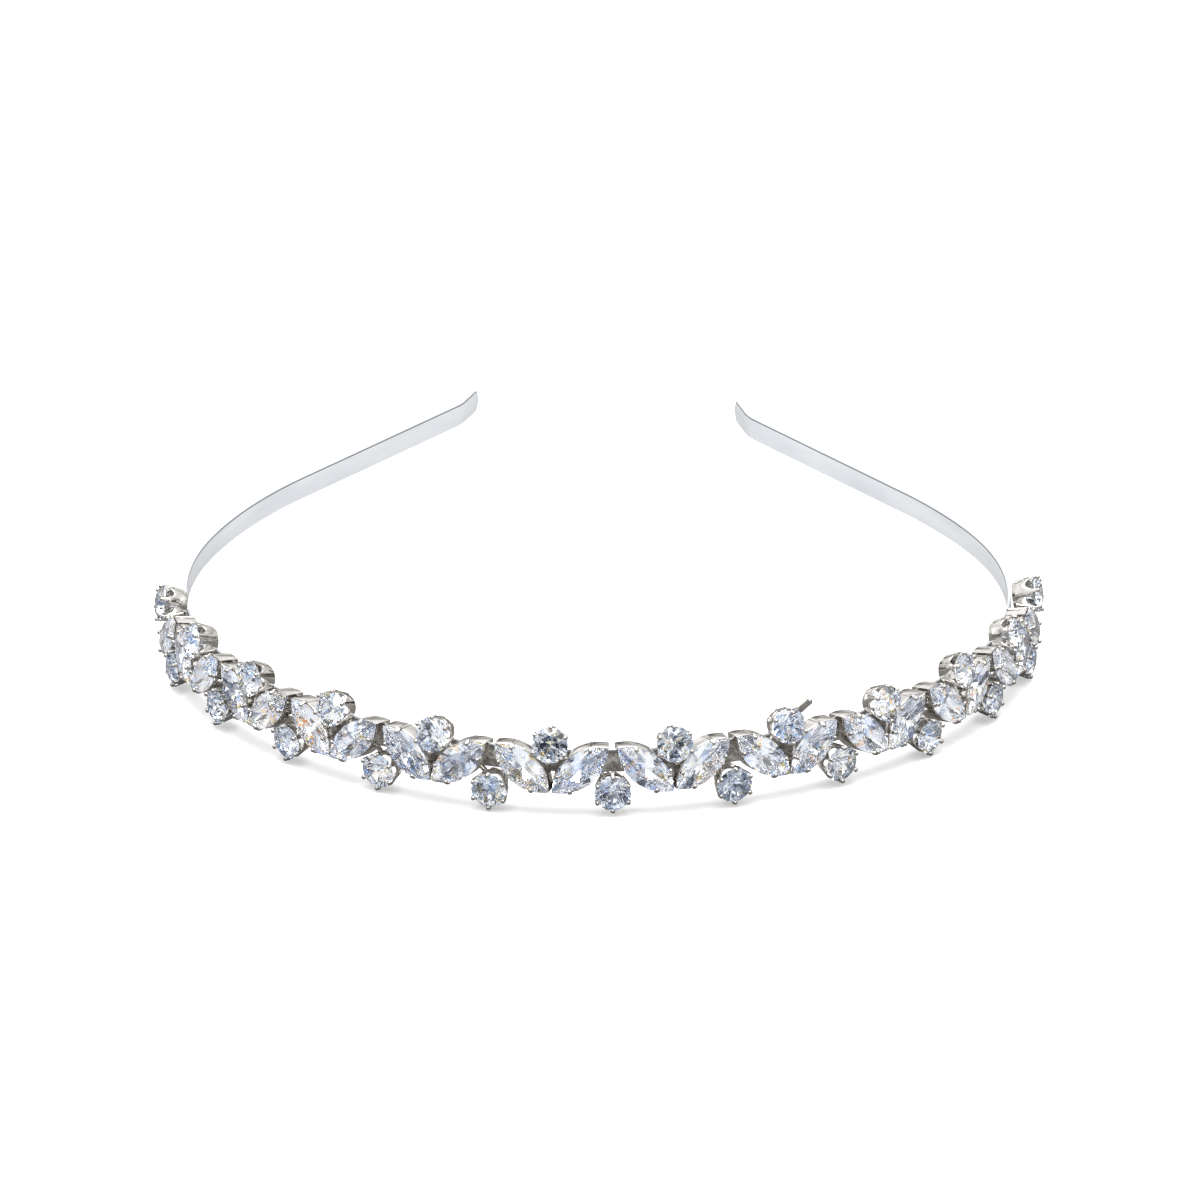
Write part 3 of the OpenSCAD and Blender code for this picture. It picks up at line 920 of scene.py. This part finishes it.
def band():
    """The strip from tip to tip, with rounded edges. Its UV is in millimetres along it and round it."""
    shape = bmesh.new()
    uv = shape.loops.layers.uv.new("strip")
    rings = []
    for s, half_width in strip_stops():
        x, y, heading = station(s)
        ring = []
        for out, up in strip_section(half_width):
            ring.append(shape.verts.new(Vector((
                x + out * math.sin(heading) - BOX_MIDDLE[0],
                y - out * math.cos(heading) - BOX_MIDDLE[1],
                up + BAND_MIDDLE_HEIGHT,
            )) * MM))
        rings.append((s, ring))
    section = strip_section(BAND_WIDTH / 2)
    count = len(section)
    around = [0.0]
    for k in range(count):
        around.append(around[-1] + math.dist(section[(k + 1) % count], section[k]))
    for (s, ring), (next_s, next_ring) in zip(rings, rings[1:]):
        for k in range(count):
            other = (k + 1) % count
            face = shape.faces.new((ring[k], next_ring[k], next_ring[other], ring[other]))
            face.smooth = True
            spots = ((s, around[k]), (next_s, around[k]), (next_s, around[k + 1]), (s, around[k + 1]))
            for loop, spot in zip(face.loops, spots):
                loop[uv].uv = spot
    for (s, ring), flip in ((rings[0], False), (rings[-1], True)):
        cap = shape.faces.new(ring[::-1] if flip else ring)
        for loop in cap.loops:
            loop[uv].uv = (s, 0)
    bmesh.ops.recalc_face_normals(shape, faces=shape.faces)
    mesh = bpy.data.meshes.new("spring_strip")
    shape.to_mesh(mesh)
    shape.free()
    mesh.materials.append(steel)
    piece = placed("spring_strip", mesh)
    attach(piece, "root")
    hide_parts("band")


# Stones


def dress_stones():
    """Crystal on each stone"""
    rounds = [f"round_upper_{i:02d}" for i in range(1, UPPER_COUNT + 1)]
    rounds += [f"round_lower_{i:02d}" for i in range(1, LOWER_COUNT + 1)]
    marquises = [f"marquise_{j:02d}" for j in range(1, 2 * LOWER_COUNT + 1)]
    for names, crystal in ((rounds, round_crystal), (marquises, marquise_crystal)):
        for name in names:
            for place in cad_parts[name].material_slots:
                place.material = crystal


# Camera, table and lights


def aimed(place, target):
    """Frame at a place that looks at the target"""
    return Matrix.Translation(place) @ (target - place).to_track_quat("-Z", "Y").to_matrix().to_4x4()


def camera():
    """Looks down at the headband from the front, as in the photograph."""
    eye = Vector((61.1, -1502.4, 559.4)) * MM
    target = Vector((-0.16, -8.85, 6.81)) * MM
    roll = 0.08
    data = bpy.data.cameras.new("camera")
    data.lens = 333.26
    data.sensor_width = 36
    data.clip_start = 0.05
    data.clip_end = 20
    made = placed("camera", data)
    made.matrix_world = aimed(eye, target) @ turn("Z", roll)
    bpy.context.scene.camera = made


def table():
    """The pale surface that the headband lies on"""
    reach = 3.0
    sunk = -0.00002
    corners = [(x * reach, y * reach, sunk) for x, y in ((-1, -1), (1, -1), (1, 1), (-1, 1))]
    mesh = bpy.data.meshes.new("table")
    mesh.from_pydata(corners, [], [(0, 1, 2, 3)])
    mesh.materials.append(table_paper)
    made = placed("table", mesh)


def softbox(name, place, size, power):
    """Square soft light that is aimed at the headband"""
    data = bpy.data.lights.new(name, "AREA")
    data.shape = "SQUARE"
    data.size = size
    data.energy = power
    placed(name, data).matrix_world = aimed(Vector(place), Vector((0, 0, 0)))


def tent_folds(tree, bearing, way):
    """Colours of the tent's folds, which the polished metal mirrors: dark near the table, white high up"""
    billow = noise(tree, bearing, 3.0)
    folded = maths(tree, "ADD", way.outputs["Z"], ranged(tree, billow, 0.3, 0.7, -0.35, 0.3))
    # The back of the tent is lit more, which keeps the upper rims of the settings pale.
    behind = ranged(tree, way.outputs["Y"], 0.7, 0.9, 0.0, 0.2)
    return coloured(tree, maths(tree, "ADD", folded, behind), [
        (0.0, "#35332f"), (0.14, "#6a6866"), (0.25, "#bfbcb8"), (0.45, "#e6e5e3"), (0.7, "#ffffff"),
    ])


def tent_opening(tree, way):
    """Share of the dark opening in the front of the tent, which the camera stands in"""
    aside = maths(tree, "ABSOLUTE", way.outputs["X"])
    width = ranged(tree, aside, 0.14, 0.22, 1.0, 0.0)
    height = ranged(tree, way.outputs["Z"], 0.5, 0.62, 1.0, 0.0)
    front = maths(tree, "LESS_THAN", way.outputs["Y"], 0.0)
    return maths(tree, "MULTIPLY", maths(tree, "MULTIPLY", width, height), front)


def tent():
    """White tent over the table, grey low down. The dark lines in the metal and the dark facets come from
    its folds and from its opening."""
    world = bpy.data.worlds.new("studio")
    bpy.context.scene.world = world
    world.use_nodes = True
    tree = world.node_tree
    tree.nodes.clear()
    bearing = add(tree, "ShaderNodeTexCoord").outputs["Generated"]
    way = add(tree, "ShaderNodeSeparateXYZ", {"Vector": bearing})
    sight = add(tree, "ShaderNodeLightPath")
    # The stones show a plain wall, whose colours go by the sine of the height above the horizon.
    wall = coloured(tree, way.outputs["Z"], [
        (0.0, "#8b9098"), (0.1, "#b3b6bb"), (0.2, "#d4d6d9"), (0.4, "#eaecef"), (0.6, "#ffffff"),
    ])
    sides = mixed(tree, sight.outputs["Is Transmission Ray"], tent_folds(tree, bearing, way), wall)
    around = mixed(tree, tent_opening(tree, way), sides, linear("#2c3846"))
    # The table is lit evenly, and the camera itself sees plain white past its edge.
    plain = maths(tree, "MAXIMUM", sight.outputs["Is Camera Ray"], sight.outputs["Is Diffuse Ray"])
    # The tent shines a little stronger than the camera sees it.
    strength = ranged(tree, sight.outputs["Is Camera Ray"], 0.0, 1.0, 1.2, 1.0)
    glow = add(tree, "ShaderNodeBackground", {
        "Color": mixed(tree, plain, around, linear("#fbfbfb")), "Strength": strength,
    })
    add(tree, "ShaderNodeOutputWorld", {"Surface": glow})


def studio():
    """The tent, two soft lights, and enough bounces of light for cut stones"""
    tent()
    softbox("overhead_softbox", (0.0, -0.1, 1.1), 0.9, 10.0)
    softbox("front_light", (-0.5, -1.2, 1.3), 0.18, 2.5)
    bpy.context.scene.view_settings.view_transform = "Standard"
    light_paths = bpy.context.scene.cycles
    light_paths.max_bounces = 24
    light_paths.glossy_bounces = 16
    light_paths.transmission_bounces = 24


camera()
table()
studio()
band()
for cluster in range(1, UPPER_COUNT + 1):
    claw_cluster(cluster)
dress_stones()
